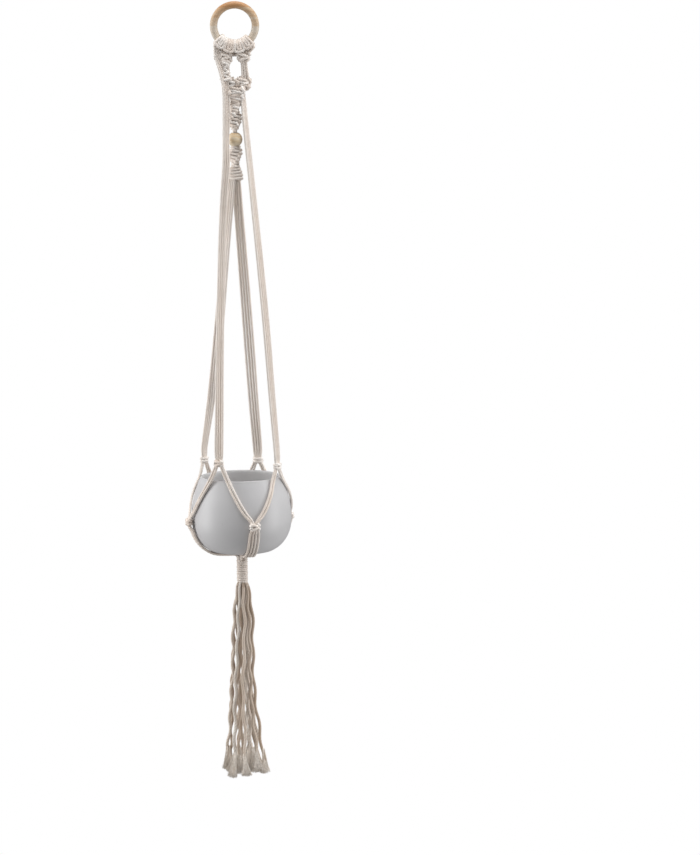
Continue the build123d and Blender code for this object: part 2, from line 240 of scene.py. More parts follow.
class Skin:
    """Collects the surfaces of one piece's cords and fibres."""

    def __init__(self):
        self.points = []
        self.faces = []
        self.fibre_map = []
        self.groove = []
        self.tone = []
        self.total = 0

    def add(self, points, around, fibre_map, groove, tone):
        """Adds a tube with closed ends. Its fibre map has one more corner round it than it has sides."""
        rows = len(points)
        faces = (tube_faces(rows, around) + self.total).tolist()
        faces.append([self.total + k for k in range(around - 1, -1, -1)])
        faces.append([self.total + (rows - 1) * around + k for k in range(around)])
        self.faces += faces
        corners = [fibre_map[:-1, :-1], fibre_map[:-1, 1:], fibre_map[1:, 1:], fibre_map[1:, :-1]]
        self.fibre_map.append(np.stack(corners, axis=2).reshape(-1, 2))
        self.fibre_map.append(np.tile(fibre_map[0, 0], (around, 1)))
        self.fibre_map.append(np.tile(fibre_map[-1, 0], (around, 1)))
        self.points.append(points.reshape(-1, 3))
        self.groove.append(np.tile(groove, rows))
        self.tone.append(np.full(rows * around, tone))
        self.total += rows * around

    def cord(self, line, diameter=cord_diameter, thickness=None, tone=None, relief=1.0):
        """A twisted three-ply cord. thickness scales it along its length, and relief its grooves."""
        tone = chance.uniform(0, 1) if tone is None else tone
        line, along = evenly_spaced(np.asarray(line), skin_step)
        sides, ups = carried_frames(line)
        angles = np.arange(section_points) * 2 * math.pi / section_points
        crown = np.abs(np.cos(1.5 * angles))
        lay = cord_lay * diameter / cord_diameter
        spin = angles[None, :] + chance.uniform(0, 2 * math.pi) + (2 * math.pi * along / lay)[:, None]
        plies = 1 + groove_depth * relief * (crown**0.7 - 0.9)
        reach = np.broadcast_to(plies * diameter / 2, spin.shape).copy()
        if thickness is not None:
            shares = np.linspace(0, 1, len(thickness))
            reach *= np.interp(along / along[-1], shares, thickness)[:, None]
        points = line[:, None, :] + (reach * np.cos(spin))[:, :, None] * sides[:, None, :]
        points = points + (reach * np.sin(spin))[:, :, None] * ups[:, None, :]
        around = np.arange(section_points + 1) / section_points
        turned = (around[None, :] + (along / lay)[:, None]) * math.pi * diameter / mm
        run = np.repeat((along / mm)[:, None], section_points + 1, axis=1)
        self.add(points, section_points, np.stack([turned, run], axis=-1), (1 - crown) * relief, tone)

    def fibre(self, line, root_radius, tip_radius, tone):
        """One lock of a few fibres, three-sided, along a line of a few points."""
        line = np.asarray(line)
        sides, ups = carried_frames(line)
        radii = np.linspace(root_radius, tip_radius, len(line))[:, None, None]
        angles = np.arange(3) * 2 * math.pi / 3
        points = line[:, None, :] + radii * (
            np.cos(angles)[None, :, None] * sides[:, None, :]
            + np.sin(angles)[None, :, None] * ups[:, None, :]
        )
        self.add(points, 3, np.zeros((len(line), 4, 2)), np.zeros(3), tone)

    def piece(self, name, material):
        """The collected surfaces as one object, with its fibre map, its groove depths for the painted
        groove shade, and its tones.
        """
        mesh = bpy.data.meshes.new(name)
        mesh.from_pydata(np.concatenate(self.points).tolist(), [], self.faces)
        layer = mesh.uv_layers.new(name="fibre")
        layer.data.foreach_set("uv", np.concatenate(self.fibre_map).ravel())
        for key, values in (("groove", self.groove), ("tone", self.tone)):
            held = mesh.attributes.new(key, "FLOAT", "POINT")
            held.data.foreach_set("value", np.concatenate(values))
        return smooth_piece(name, mesh, material)


# ---- materials ----
def linear(hex_colour):
    """An sRGB hex colour as the linear values that shaders take."""
    values = [int(hex_colour[i : i + 2], 16) / 255 for i in (1, 3, 5)]
    return (*[v / 12.92 if v <= 0.04045 else ((v + 0.055) / 1.055) ** 2.4 for v in values], 1.0)


def set_sockets(tree, node, sockets):
    """Each socket gets a value or a link. A node stands for its first output."""
    for key, value in sockets.items():
        if isinstance(value, bpy.types.Node):
            value = value.outputs[0]
        if isinstance(value, bpy.types.NodeSocket):
            tree.links.new(value, node.inputs[key])
        else:
            node.inputs[key].default_value = value


def add_node(tree, kind, settings=None, sockets=None, stops=()):
    """Adds a shader node with its settings, its sockets and the stops of its colour ramp."""
    made = tree.nodes.new("ShaderNode" + kind)
    for key, value in (settings or {}).items():
        setattr(made, key, value)
    set_sockets(tree, made, sockets or {})
    for number, (position, colour) in enumerate(stops):
        elements = made.color_ramp.elements
        element = elements[number] if number < 2 else elements.new(position)
        element.position = position
        element.color = linear(colour)
    return made


def new_material(name, roughness, specular):
    """A node material with its shader, ready for its own nodes."""
    material = bpy.data.materials.new(name)
    material.use_nodes = True
    tree = material.node_tree
    shader = tree.nodes["Principled BSDF"]
    set_sockets(tree, shader, {"Roughness": roughness, "Specular IOR Level": specular})
    return material, tree, shader


def twisted_cotton(name, light, body, shade, groove_shade):
    """Undyed cotton, carded, spun and plied: matte cream with lines of fibre, and painted shade in the
    grooves between plies.
    """
    material, tree, shader = new_material(name, 0.92, 0.25)
    fibre_width = 0.45  # millimetres: a lock of fibres, since a single one is too fine to show
    fibre_run = 7.0
    patch = 40 * mm
    fibre_map = add_node(tree, "UVMap", {"uv_map": "fibre"})
    stretched = add_node(tree, "Mapping", None, {
        "Vector": fibre_map, "Scale": (1 / fibre_width, 1 / fibre_run, 1)})
    fibres = add_node(tree, "TexNoise", {"noise_dimensions": "2D"}, {
        "Vector": stretched, "Scale": 1.0, "Detail": 3.0, "Roughness": 0.6})
    own = add_node(tree, "TexCoord").outputs["Object"]
    patches = add_node(tree, "TexNoise", None, {"Vector": own, "Scale": 1 / patch, "Detail": 2.0})
    tone = add_node(tree, "Attribute", {"attribute_name": "tone"})
    groove = add_node(tree, "Attribute", {"attribute_name": "groove"})
    half_patch = add_node(tree, "Math", {"operation": "MULTIPLY"}, {0: patches, 1: 0.35})
    mixed = add_node(tree, "Math", {"operation": "MULTIPLY_ADD"}, {
        0: tone.outputs["Fac"], 1: 0.65, 2: half_patch})
    base = add_node(tree, "ValToRGB", None, {"Fac": mixed}, ((0.2, shade), (0.8, light), (0.5, body)))
    streak = add_node(tree, "ValToRGB", None, {"Fac": fibres}, ((0.32, "#d8cec4"), (0.60, "#ffffff")))
    streaked = add_node(tree, "Mix", {"data_type": "RGBA", "blend_type": "MULTIPLY"}, {
        0: 0.6, 6: base, 7: streak})
    # Painted shade in the grooves between plies: the deeper the groove, the nearer the colour comes to
    # the groove shade colour.
    deep = add_node(tree, "Math", {"operation": "POWER"}, {0: groove.outputs["Fac"], 1: 1.5})
    plied = add_node(tree, "Mix", {"data_type": "RGBA"}, {
        0: deep, 6: streaked.outputs[2], 7: linear(groove_shade)})
    bump = add_node(tree, "Bump", None, {"Strength": 0.3, "Distance": 0.1 * mm, "Height": fibres})
    set_sockets(tree, shader, {
        "Base Color": plied.outputs[2], "Normal": bump,
        "Sheen Weight": 0.25, "Sheen Roughness": 0.5})
    return material


def combed_cotton(name, light, shade):
    """The same cotton brushed out: loose matte locks of fibre, each a random tone from pale to grey as
    painted shade for locks lying behind others, under a fine grey mottle.
    """
    material, tree, shader = new_material(name, 0.9, 0.2)
    tone = add_node(tree, "Attribute", {"attribute_name": "tone"})
    own = add_node(tree, "TexCoord").outputs["Object"]
    # A fine grey mottle over the locks.
    mottle_noise = add_node(tree, "TexNoise", None, {"Vector": own, "Scale": 1 / (2.5 * mm), "Detail": 2.0})
    base = add_node(tree, "ValToRGB", None, {"Fac": tone.outputs["Fac"]}, ((0.0, shade), (1.0, light)))
    grey_mottle = add_node(tree, "ValToRGB", None, {"Fac": mottle_noise}, ((0.35, "#d5cec4"), (0.6, "#ffffff")))
    colour = add_node(tree, "Mix", {"data_type": "RGBA", "blend_type": "MULTIPLY"}, {
        0: 0.5, 6: base, 7: grey_mottle})
    set_sockets(tree, shader, {"Base Color": colour.outputs[2], "Sheen Weight": 0.3})
    return material


def turned_wood(name, pale, middle, warm, pore, growth_width, roughness, warm_band):
    """Pale hardwood, turned and sanded: straight grain, short pores, and a warmer colour above a band of
    heights, paler below it.
    """
    material, tree, shader = new_material(name, roughness, 0.4)
    own = add_node(tree, "TexCoord").outputs["Object"]
    grain = add_node(tree, "Mapping", None, {
        "Vector": own, "Rotation": (0.12, 0.25, 0.06),
        "Scale": (1 / (12 * growth_width), 1 / growth_width, 1 / growth_width)})
    growth = add_node(tree, "TexNoise", None, {
        "Vector": grain, "Scale": 1.0, "Detail": 3.0, "Distortion": 0.5})
    pore_size = (1 / (4 * mm), 1 / (0.4 * mm), 1 / (0.4 * mm))  # pores drawn wide enough to show
    fine = add_node(tree, "Mapping", None, {
        "Vector": own, "Rotation": (0.12, 0.25, 0.06), "Scale": pore_size})
    pores = add_node(tree, "TexNoise", None, {
        "Vector": fine, "Scale": 1.0, "Detail": 4.0, "Roughness": 0.65})
    height = add_node(tree, "SeparateXYZ", None, {"Vector": own})
    # Warmer above a band of heights and paler below it; on the ring the warmer upper arc is painted
    # shade.
    band = add_node(tree, "MapRange", {"interpolation_type": "SMOOTHSTEP"}, {
        "Value": height.outputs["Z"], "From Min": warm_band[0], "From Max": warm_band[1],
        "To Min": 0.22, "To Max": -0.22})
    mixed = add_node(tree, "Math", {"operation": "ADD"}, {0: growth, 1: band})
    base = add_node(tree, "ValToRGB", None, {"Fac": mixed}, ((0.28, warm), (0.72, pale), (0.5, middle)))
    pitted = add_node(tree, "ValToRGB", None, {"Fac": pores}, ((0.28, pore), (0.42, "#ffffff")))
    colour = add_node(tree, "Mix", {"data_type": "RGBA", "blend_type": "MULTIPLY"}, {
        0: 0.18, 6: base, 7: pitted})
    rough = add_node(tree, "MapRange", None, {
        "Value": pores, "To Min": roughness + 0.14, "To Max": roughness - 0.08})
    bump = add_node(tree, "Bump", None, {"Strength": 0.08, "Distance": 0.05 * mm, "Height": pores})
    set_sockets(tree, shader, {"Base Color": colour.outputs[2], "Roughness": rough, "Normal": bump})
    return material


def satin_glaze(name, glaze, thin, speck, inside_painted_light):
    """Earthenware dipped in a satin glaze: soft broad shine, faint pooling, and a lighter colour inside
    that is painted light for the pot's shaded inside.
    """
    material, tree, shader = new_material(name, 0.42, 0.5)
    own = add_node(tree, "TexCoord").outputs["Object"]
    pooling, specks, peel = [
        add_node(tree, "TexNoise", None, {
            "Vector": own, "Scale": 1 / (size * mm), "Detail": detail})
        for size, detail in ((55, 3.0), (1.6, 1.0), (3.5, 2.0))
    ]
    base = add_node(tree, "ValToRGB", None, {"Fac": pooling}, ((0.3, thin), (0.7, glaze)))
    specked = add_node(tree, "ValToRGB", None, {"Fac": specks}, ((0.20, speck), (0.28, "#ffffff")))
    colour = add_node(tree, "Mix", {"data_type": "RGBA", "blend_type": "MULTIPLY"}, {
        0: 0.3, 6: base, 7: specked})
    # The inside takes a lighter colour: painted light where the pot's inside lies in shade.
    inner = add_node(tree, "Attribute", {"attribute_name": "inner"})
    whole = add_node(tree, "Mix", {"data_type": "RGBA"}, {
        0: inner.outputs["Fac"], 6: colour.outputs[2], 7: linear(inside_painted_light)})
    rough = add_node(tree, "MapRange", None, {"Value": pooling, "To Min": 0.36, "To Max": 0.48})
    bump = add_node(tree, "Bump", None, {"Strength": 0.12, "Distance": 0.15 * mm, "Height": peel})
    set_sockets(tree, shader, {"Base Color": whole.outputs[2], "Roughness": rough, "Normal": bump})
    return material


# The last colour of each cotton is the painted shade in the grooves between plies.
cotton = twisted_cotton("twisted_cotton", "#fefaf6", "#f5ede6", "#e8dcd2", "#e2d6cb")
# A darker copy of the same cotton for the tassel: its dark stops, given to strands at random, are painted
# shade for the depths of the tassel.
tassel_cotton_shaded = twisted_cotton("twisted_cotton_shaded_for_tassel", "#fffdf8", "#e9dccf", "#bda995", "#b09b87")
tuft_cotton = combed_cotton("combed_cotton", "#fff9f1", "#f1e4d7")
# On the ring the warmer colour over its upper arc is painted shade.
beech = turned_wood("turned_beech", "#d2c6b6", "#c6ac8e", "#b18358", "#b89a78",
                    growth_width=9 * mm, roughness=0.42, warm_band=(-0.034, 0.012))
maple = turned_wood("turned_maple", "#dccfb8", "#d6c2a2", "#d0b48c", "#bfa482",
                    growth_width=3.5 * mm, roughness=0.48, warm_band=(-0.190, -0.160))
# The last colour is the lighter inside, painted light.
glaze = satin_glaze("satin_white_glaze", "#c7c6c7", "#bfbebf", "#a9a6a0", "#dedddd")


def place(made, body, slot, *nodes):
    """The piece rides on its body and stands for its CAD nodes, which it hides. The slot is not used."""
    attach(made, body)
    if nodes:
        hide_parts(*nodes)
    return made


def bridge(made):
    """Bakes the piece's placement into its mesh; the piece rides on no body."""
    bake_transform(made)
    return made


# ---- places round the pot's axis ----
def out_from_axis(azimuth):
    turn = math.radians(azimuth)
    return np.array([math.sin(turn), -math.cos(turn), 0.0])


def along_tangent(azimuth):
    turn = math.radians(azimuth)
    return np.array([math.cos(turn), math.sin(turn), 0.0])


def at(azimuth, radius, height, sideways=0.0):
    """The point at an azimuth, radius and height, moved sideways along the tangent."""
    return out_from_axis(azimuth) * radius + along_tangent(azimuth) * sideways + np.array([0, 0, height])


def pot_radius(height):
    """The pot's outside radius at a height between its base and its rim."""
    if height >= pot_widest_height:
        rise = pot_rim_height - pot_widest_height
        inset = pot_widest_radius - pot_rim_radius
        arc = (rise**2 + inset**2) / (2 * inset)
        return pot_widest_radius - arc + math.sqrt(arc**2 - (height - pot_widest_height) ** 2)
    fall = (pot_widest_height - height) / (pot_widest_height - pot_base_height)
    return pot_base_radius + (pot_widest_radius - pot_base_radius) * math.sqrt(1 - min(fall, 1.0) ** 2)


# ---- knots ----
# One half knot's two working cords, as sideways, forward and down. 1 is as far as the middle of a working
# cord beside or before the cords that it holds, or the foot of the half knot.
over_bar = ((-1, 0, 0), (-1.25, 0.3, 0.1), (-0.65, 1.05, 0.26), (0.65, 1.05, 0.74), (1.2, -0.1, 0.9),
            (1, 0, 1))
under_bar = ((1, 0, 0), (1.3, 1, 0.3), (1.5, 0.3, 0.5), (0.65, -1.05, 0.55), (-0.65, -1.05, 0.5),
             (-1.45, -0.2, 0.45), (-1.25, 1, 0.75), (-1, 0, 1))


def turned_across(across, turn):
    """The way across a knot, turned about the vertical by some degrees."""
    turn = math.radians(turn)
    return across * math.cos(turn) + np.cross((0, 0, -1.0), across) * math.sin(turn)


def stacked_half_knots(top, across, half_width, half_depth, heights, turns, alternate, squeeze):
    """Control points of both working cords down a stack of half knots, each with its turn and scale."""
    down = np.array([0, 0, -1.0])
    routes = ([], [])
    left, right = 0, 1
    depth_so_far = 0.0
    for i, height in enumerate(heights):
        flip = -1 if alternate and i % 2 else 1
        over, under = (left, right) if flip == 1 else (right, left)
        sideways = turned_across(across, turns[i])
        forward = np.cross(down, sideways)
        scale = squeeze[i]
        for number, shape in ((over, over_bar), (under, under_bar)):
            for x, y, fall in shape[1 if i else 0 :]:
                spot = top + sideways * x * flip * half_width * scale + forward * y * half_depth * scale
                routes[number].append(spot + down * (depth_so_far + fall * height))
        depth_so_far += height
        left, right = right, left
    return routes


def doubled(line, axis_point, pitch=cord_pitch):
    """Two lines side by side where there was one, both lying on what the one is wound round."""
    tangents = np.gradient(line, axis=0)
    outwards = line - axis_point
    outwards[:, 2] = 0
    offset = np.cross(tangents, outwards)
    offset /= np.linalg.norm(offset, axis=1)[:, None]
    for _ in range(6):
        offset[1:-1] = (offset[:-2] + 2 * offset[1:-1] + offset[2:]) / 4
    return line - offset * pitch / 2, line + offset * pitch / 2


def held_places(columns, rows, pitch=cord_pitch):
    """Sideways and forward places of the cords that a knot holds."""
    return [((c - (columns - 1) / 2) * pitch, (r - (rows - 1) / 2) * pitch)
            for c in range(columns) for r in range(rows)]


def knot_piece(name, top, across, half_width, half_depth, heights, held, two_strands=False,
               overlap=2.5 * mm, first_turn=0.0, turn_each=0.0, alternate=True, squeeze=None, turns=None):
    """Half knots round the cords that they hold, with those cords showing a little at both ends."""
    skin = Skin()
    top = np.asarray(top, float)
    turns = turns or [first_turn + turn_each * i for i in range(len(heights))]
    squeeze = squeeze or [1.0] * len(heights)
    routes = stacked_half_knots(top, across, half_width, half_depth, heights, turns, alternate, squeeze)
    for line in map(smooth_line, routes):
        for strand in doubled(line, top) if two_strands else (line,):
            skin.cord(strand, diameter=cord_diameter * knot_bulge, relief=pulled_tight)
    middles = np.cumsum(heights) - np.asarray(heights) / 2
    falls = [-overlap, *middles, sum(heights) + overlap]
    core_turns = [turns[0], *turns, turns[-1]]
    for sideways, ahead in held:
        points = []
        for fall, turn in zip(falls, core_turns):
            way = turned_across(across, turn)
            forward = np.cross((0, 0, -1.0), way)
            points.append(top + way * sideways + forward * ahead - (0, 0, fall))
        skin.cord(smooth_line(points))
    cotton_piece(skin, name)


facing = np.array([1.0, 0, 0])  # across a knot that faces the front


# ---- ring and lark's heads ----
def turned_solid(name, outline, turns, middle, upright, material):
    """A closed outline of distances from the axis and along it, carried round that axis."""
    outline = np.asarray(outline)
    angles = np.arange(turns) * 2 * math.pi / turns
    first = np.cos(angles)[:, None] * outline[None, :, 0]
    second = np.sin(angles)[:, None] * outline[None, :, 0]
    along = np.broadcast_to(outline[None, :, 1], first.shape)
    parts = (first, second, along) if upright else (first, along, second)
    points = np.stack(parts, axis=-1).reshape(-1, 3) + np.asarray(middle)
    count = len(outline)
    faces = []
    for i in range(turns):
        here = i * count
        there = (i + 1) % turns * count
        for k in range(count):
            after = (k + 1) % count
            faces.append((here + k, there + k, there + after, here + after))
    mesh = bpy.data.meshes.new(name)
    mesh.from_pydata(points.tolist(), [], faces)
    work = bmesh.new()
    work.from_mesh(mesh)
    bmesh.ops.remove_doubles(work, verts=work.verts, dist=0.01 * mm)
    bmesh.ops.dissolve_degenerate(work, edges=work.edges, dist=0.001 * mm)
    bmesh.ops.recalc_face_normals(work, faces=work.faces)
    work.to_mesh(mesh)
    work.free()
    return smooth_piece(name, mesh, material)


def wooden_ring():
    """A ring of round wood."""
    angles = np.arange(40) * 2 * math.pi / 40
    outline = [(ring_radius + wood_radius * math.cos(a), wood_radius * math.sin(a)) for a in angles]
    made = turned_solid("wooden_ring", outline, 160, ring_middle, False, beech)
    place(made, "ring", "ring_wood", "hanging_ring")


def on_ring(angle, along, outward, forward):
    """A point near the ring: along it from an angle, outward from its wood's middle, and forward."""
    turn = math.radians(angle) + along / ring_radius
    reach = ring_radius + outward
    return ring_middle + np.array([reach * math.sin(turn), -forward, -reach * math.cos(turn)])


def larks_head(number, angle):
    """Two folded cords over the ring: the folds cross the front, and the ends hang behind them."""
    skin = Skin()
    around = wood_radius + cord_radius + 0.3 * mm  # the line cuts inside its control points
    ends = []
    for places, bar_reach in ((1.5, 6.9 * mm), (0.5, 3.9 * mm)):
        half = []
        for side in (-1, 1):
            along = side * places * cord_pitch * 0.96
            route = (  # share of the way along, outward, forward, down
                (0.95, bar_reach - 0.4 * mm, 7.6 * mm, 0), (1.02, bar_reach - 3.2 * mm, 7.2 * mm, 0),
                (1, -around * 0.75, around * 0.95, 0), (1, -around * 1.25, 0, 0),
                (1, -around * 0.75, -around * 0.95, 0), (1, around * 0.8, -around * 0.95, 0),
                (1, around, -around * 0.15, 1.5 * mm), (0.98, around, 1.4 * mm, 5.5 * mm))
            half.append([on_ring(angle, along * share, outward, forward) - (0, 0, down)
                         for share, outward, forward, down in route])
            ends.append(half[-1][-1])
        fold = half[0][::-1] + [on_ring(angle, 0, bar_reach, 8.1 * mm)] + half[1]
        skin.cord(smooth_line(fold), diameter=cord_diameter * 1.12, relief=pulled_tight)
    made = skin.piece(f"larks_head_cords_{number}", cotton)
    place(made, "ring", "cotton_cord", f"larks_head_{number}")
    return sorted(ends, key=lambda end: end[0])


def neck_cords(name, ends, tops):
    """The ends below the lark's heads, drawn together into the shoulder knots."""
    skin = Skin()
    for end, top in zip(ends, tops):
        top = np.asarray(top)
        between = end * 0.45 + top * 0.55 + (0, 0, 1 * mm)
        skin.cord(smooth_line([end + (0, 1 * mm, 3 * mm), end, between, top, top - (0, 0, 6 * mm)]))
    bridge(skin.piece(name, cotton))


def cotton_piece(skin, *nodes, body="hanger"):
    return place(skin.piece(f"{nodes[0]}_cords", cotton), body, "cotton_cord", *nodes)


def shoulders():
    """Two square knots, with a small sennit under the left one and smooth cords under the right."""
    left_top = np.array([-12.4, -1.0, -60.0]) * mm
    right_top = np.array([11.4, -1.0, -59.4]) * mm
    ends = [larks_head(number, angle) for number, angle in enumerate(larks_head_angles, 1)]
    # The four leftmost ends pass beside the left knot and run on as the front left leg.
    leg_tops = [(x * mm, -3.6 * mm, -62 * mm) for x in np.linspace(-26.9, -20.1, 4)]
    left_tops = leg_tops + [left_top + (x, (-1) ** i * 1.8 * mm, -2.5 * mm)
                            for i, x in enumerate(np.linspace(-3.6, 3.6, 4) * mm)]
    right_tops = [right_top + (x, (-1) ** i * 1.8 * mm, -2.5 * mm)
                  for i, x in enumerate(np.linspace(-5.6, 5.6, 8) * mm)]
    neck_cords("left_neck_cords", ends[0] + ends[1], left_tops)
    neck_cords("right_neck_cords", ends[2] + ends[3], right_tops)

    knot_piece("shoulder_knot_left", left_top, facing, 5.2 * mm, 4.4 * mm, (3.9 * mm,) * 3,
               held_places(2, 2))
    knot_piece("shoulder_knot_right", right_top, facing, 5.6 * mm, 5.0 * mm, (5.2 * mm,) * 2,
               held_places(3, 2), squeeze=(1.1, 0.95))
    knot_piece("shoulder_sennit_left", np.array([-12.4, -2.5, -70.5]) * mm, facing, 3.1 * mm, 3.0 * mm,
               (4.4 * mm,) * 6, held_places(2, 1, 2.8 * mm), squeeze=(1.15, 0.8, 0.8, 1.0, 1.05, 1.5))

    skin = Skin()
    stations = ((11.6, -64, 1), (11.8, -74, 0.85), (12.8, -84, 0.95), (13.4, -91, 1.15),
                (12.6, -99, 1.4))
    for sideways, ahead in held_places(3, 3, 3.1 * mm)[1:]:
        points = [(x * mm + sideways * wide, -ahead * 0.9, z * mm) for x, z, wide in stations]
        skin.cord(smooth_line(points))
    cotton_piece(skin, "shoulder_cords_right")


def yoke():
    """Alternating square knots that draw the cords of both sides into the middle."""
    knots = (
        ((-5.0, 0, -95.6), 5.0, 4.0, (4.6, 5.2), (2, 1), False, (12, -10), (1.15, 1.0)),
        ((10.6, 0, -95.0), 6.6, 5.0, (5.4, 6.2), (3, 2), True, (-8, 10), (1.0, 0.95)),
        ((0.8, -1.2, -106.0), 8.6, 5.0, (5.2, 5.0, 4.4), (4, 1), True, (14, -12, 8), (1.0, 0.9, 0.8)),
        ((-1.8, 0, -119.0), 5.8, 4.8, (5.6, 6.0), (2, 2), True, (-10, 12), (1.1, 0.92)),
    )
    for number, knot in enumerate(knots, 1):
        top, half_width, half_depth, heights, held, two_strands, turns, squeeze = knot
        knot_piece(f"yoke_knot_{number}", np.array(top) * mm, facing, half_width * mm, half_depth * mm,
                   [height * mm for height in heights], held_places(*held), two_strands, 4 * mm,
                   turns=turns, squeeze=squeeze)


def spirals():
    """Half knots all tied the same way, which turn as they stack. The bead sits between the two runs."""
    bead_low, bead_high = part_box("wooden_bead")
    middle = (bead_low + bead_high) / 2
    runs = (
        ("spiral_sennit_upper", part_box("spiral_sennit_upper")[1].z + 1 * mm, -118, 26,
         (0.95, 0.92, 0.98, 1.06, 1.12, 1.08, 0.94, 0.74)),
        ("spiral_sennit_lower", bead_low.z + 0.2 * mm, -48, 25,
         (0.84, 1.04, 1.12, 1.04, 0.92, 0.84, 0.92, 1.06, 1.16, 1.2, 1.2)),
    )
    for name, height, first_turn, turn_each, squeeze in runs:
        knot_piece(name, (middle.x, 0, height), facing, 5.2 * mm, 4.3 * mm, (4.1 * mm,) * len(squeeze),
                   held_places(3, 1, 3.3 * mm), overlap=3 * mm, first_turn=first_turn,
                   turn_each=turn_each, alternate=False, squeeze=squeeze)

    skin = Skin()
    for sideways, ahead in held_places(2, 2, 3.0 * mm):
        skin.cord([(middle.x + sideways, ahead, bead_high.z + 6 * mm),
                   (middle.x + sideways, ahead, bead_low.z - 6 * mm)], diameter=3.1 * mm)
    cotton_piece(skin, "bead_core_cords")

    radius = (bead_high.x - bead_low.x) / 2
    bore = 4.0 * mm
    mouth = math.asin((bore + 0.6 * mm) / radius)
    angles = np.linspace(mouth, math.pi - mouth, 40)
    outline = [(radius * math.sin(a), radius * math.cos(a)) for a in angles]
    inner_end = radius * math.cos(mouth) - 0.7 * mm
    outline += [(bore + 0.15 * mm, -inner_end - 0.3 * mm), (bore, -inner_end), (bore, 0),
                (bore, inner_end), (bore + 0.15 * mm, inner_end + 0.3 * mm)]
    made = turned_solid("turned_bead", outline, 72, middle, True, maple)
    place(made, "bead", "bead_wood", "wooden_bead")


# ---- legs, rim knots, arms, belly knots and the cords under the pot ----
# Each leg at some heights: the middle of its four cords, and on to the outer one, in millimetres.
leg_stations = {
    "front_left": (
        ((-23.5, -3.6, -61), (3.4, 0)), ((-22, -4, -69), (3.4, 0.6)), ((-16.4, -4.6, -86), (3.4, 1.8)),
        ((-12.4, -6.4, -106), (3.6, 1.6)), ((-12.2, -9.4, -146), (3.8, 1.2)),
        ((-13.9, -11.6, -176), (2.8, 1.6)), ((-13.2, -14.4, -206), (3.9, 0.4)),
        ((-17.2, -18.4, -248), (3.8, -0.6)), ((-21, -24.2, -318), (3.8, -2)),
        ((-25.6, -36.6, -460), (4, -2.5))),
    "front_right": (
        ((8.6, -0.8, -111), (2.4, 1.6)), ((10.7, -1.6, -124), (2.2, 2.2)),
        ((12.4, -3.4, -150), (2.6, 3)), ((19, -7.4, -222), (2.6, 3.8)), ((36.2, -18, -408), (3.4, 4.5))),
    "back_left": (
        ((-5, -0.4, -222), (3.4, -1)), ((-7.6, 0.4, -236), (4, -2.2)), ((-11.6, 3.6, -276), (4.2, -3.4)),
        ((-15.4, 6.6, -316), (4.2, -3.2)), ((-29.6, 17.4, -462), (5.2, -2.6))),
    "back_right": (
        ((-0.6, 2.2, -222), (3.4, 0.6)), ((-0.4, 3.4, -236), (4.4, 0)), ((2, 8.6, -276), (4.7, -1.4)),
        ((4.6, 14, -316), (4.8, -2)), ((13.6, 32.4, -462), (5.8, -1.6))),
}


def legs():
    """Four taut cords side by side to each rim knot, and the knot itself."""
    for name, (azimuth, height) in rim_knots.items():
        top = at(azimuth, rim_knot_radius, height + 4.2 * mm)
        tangent = along_tangent(azimuth)
        skin = Skin()
        for lane, sideways in enumerate(row_of_four):
            points = []
            for middle, half_row in leg_stations[name]:
                reach = np.array([*half_row, 0.0]) * (lane - 1.5) / 1.5
                loose = np.array([chance.normal(0, 0.18), chance.normal(0, 0.35), 0])
                if name.startswith("back") and half_row[0] * tangent[0] < 0:
                    reach = -reach
                points.append((np.array(middle) + reach + loose) * mm)
            points.append(points[-1] * 0.45 + (top + tangent * sideways) * 0.55)
            for share, rise in ((1, 14), (0.92, 6), (0.66, 0), (0.64, -3)):
                points.append(top + tangent * sideways * share + (0, 0, rise * mm))
            skin.cord(smooth_line(points))
        cotton_piece(skin, f"leg_{name}")
        knot_piece(f"rim_knot_{name}", top, tangent, 4.1 * mm, 3.1 * mm, (3.7 * mm,) * 2,
                   held_places(2, 1, 2.9 * mm), overlap=1 * mm)


def over_pot(azimuth, height, sideways=0.0):
    """Where the middle of a cord lies when it rests over the pot."""
    return at(azimuth, pot_radius(height) + cord_radius + sling_gap, height, sideways)


def sling_arm(skin, rim_name, belly_name):
    """Two cords from a rim knot, over the pot's shoulder, into the belly knot beside it."""
    rim_azimuth, rim_height = rim_knots[rim_name]
    belly_azimuth = belly_knots[belly_name]
    span = (belly_azimuth - rim_azimuth + 180) % 360 - 180
    side = 1 if span > 0 else -1
    start_azimuth = rim_azimuth + side * 3.5
    end_azimuth = rim_azimuth + span - side * 3
    start_height = rim_height - 3 * mm
    end_height = belly_knot_height + 3 * mm
    slope = math.atan2(end_height - start_height, math.radians(abs(span)) * pot_widest_radius)
    for lane in (-0.5, 0.5):
        across = -lane * cord_pitch * 1.04 * math.sin(slope) * side
        up = lane * cord_pitch * 1.04 * math.cos(slope)
        points = [at(rim_azimuth, rim_knot_radius, rim_height, side * (1 + lane) * cord_pitch * 0.7)]
        for share in (0.1, 0.24, 0.44, 0.63, 0.82):
            azimuth = start_azimuth + (end_azimuth - start_azimuth) * share
            height = start_height + (end_height - start_height) * share + up
            if height > pot_rim_height:
                points.append(at(azimuth, rim_knot_radius + share * 6 * mm, height, across))
            else:
                points.append(over_pot(azimuth, height, across))
        inset = -side * (1 - lane) * cord_pitch * 0.95
        for back, rise, share in ((1.2, 7, 0.8), (0, 1, 0.7)):
            points.append(at(belly_azimuth, belly_knot_radius - back * mm, belly_knot_height + rise * mm,
                             inset * share))
        skin.cord(smooth_line(points))


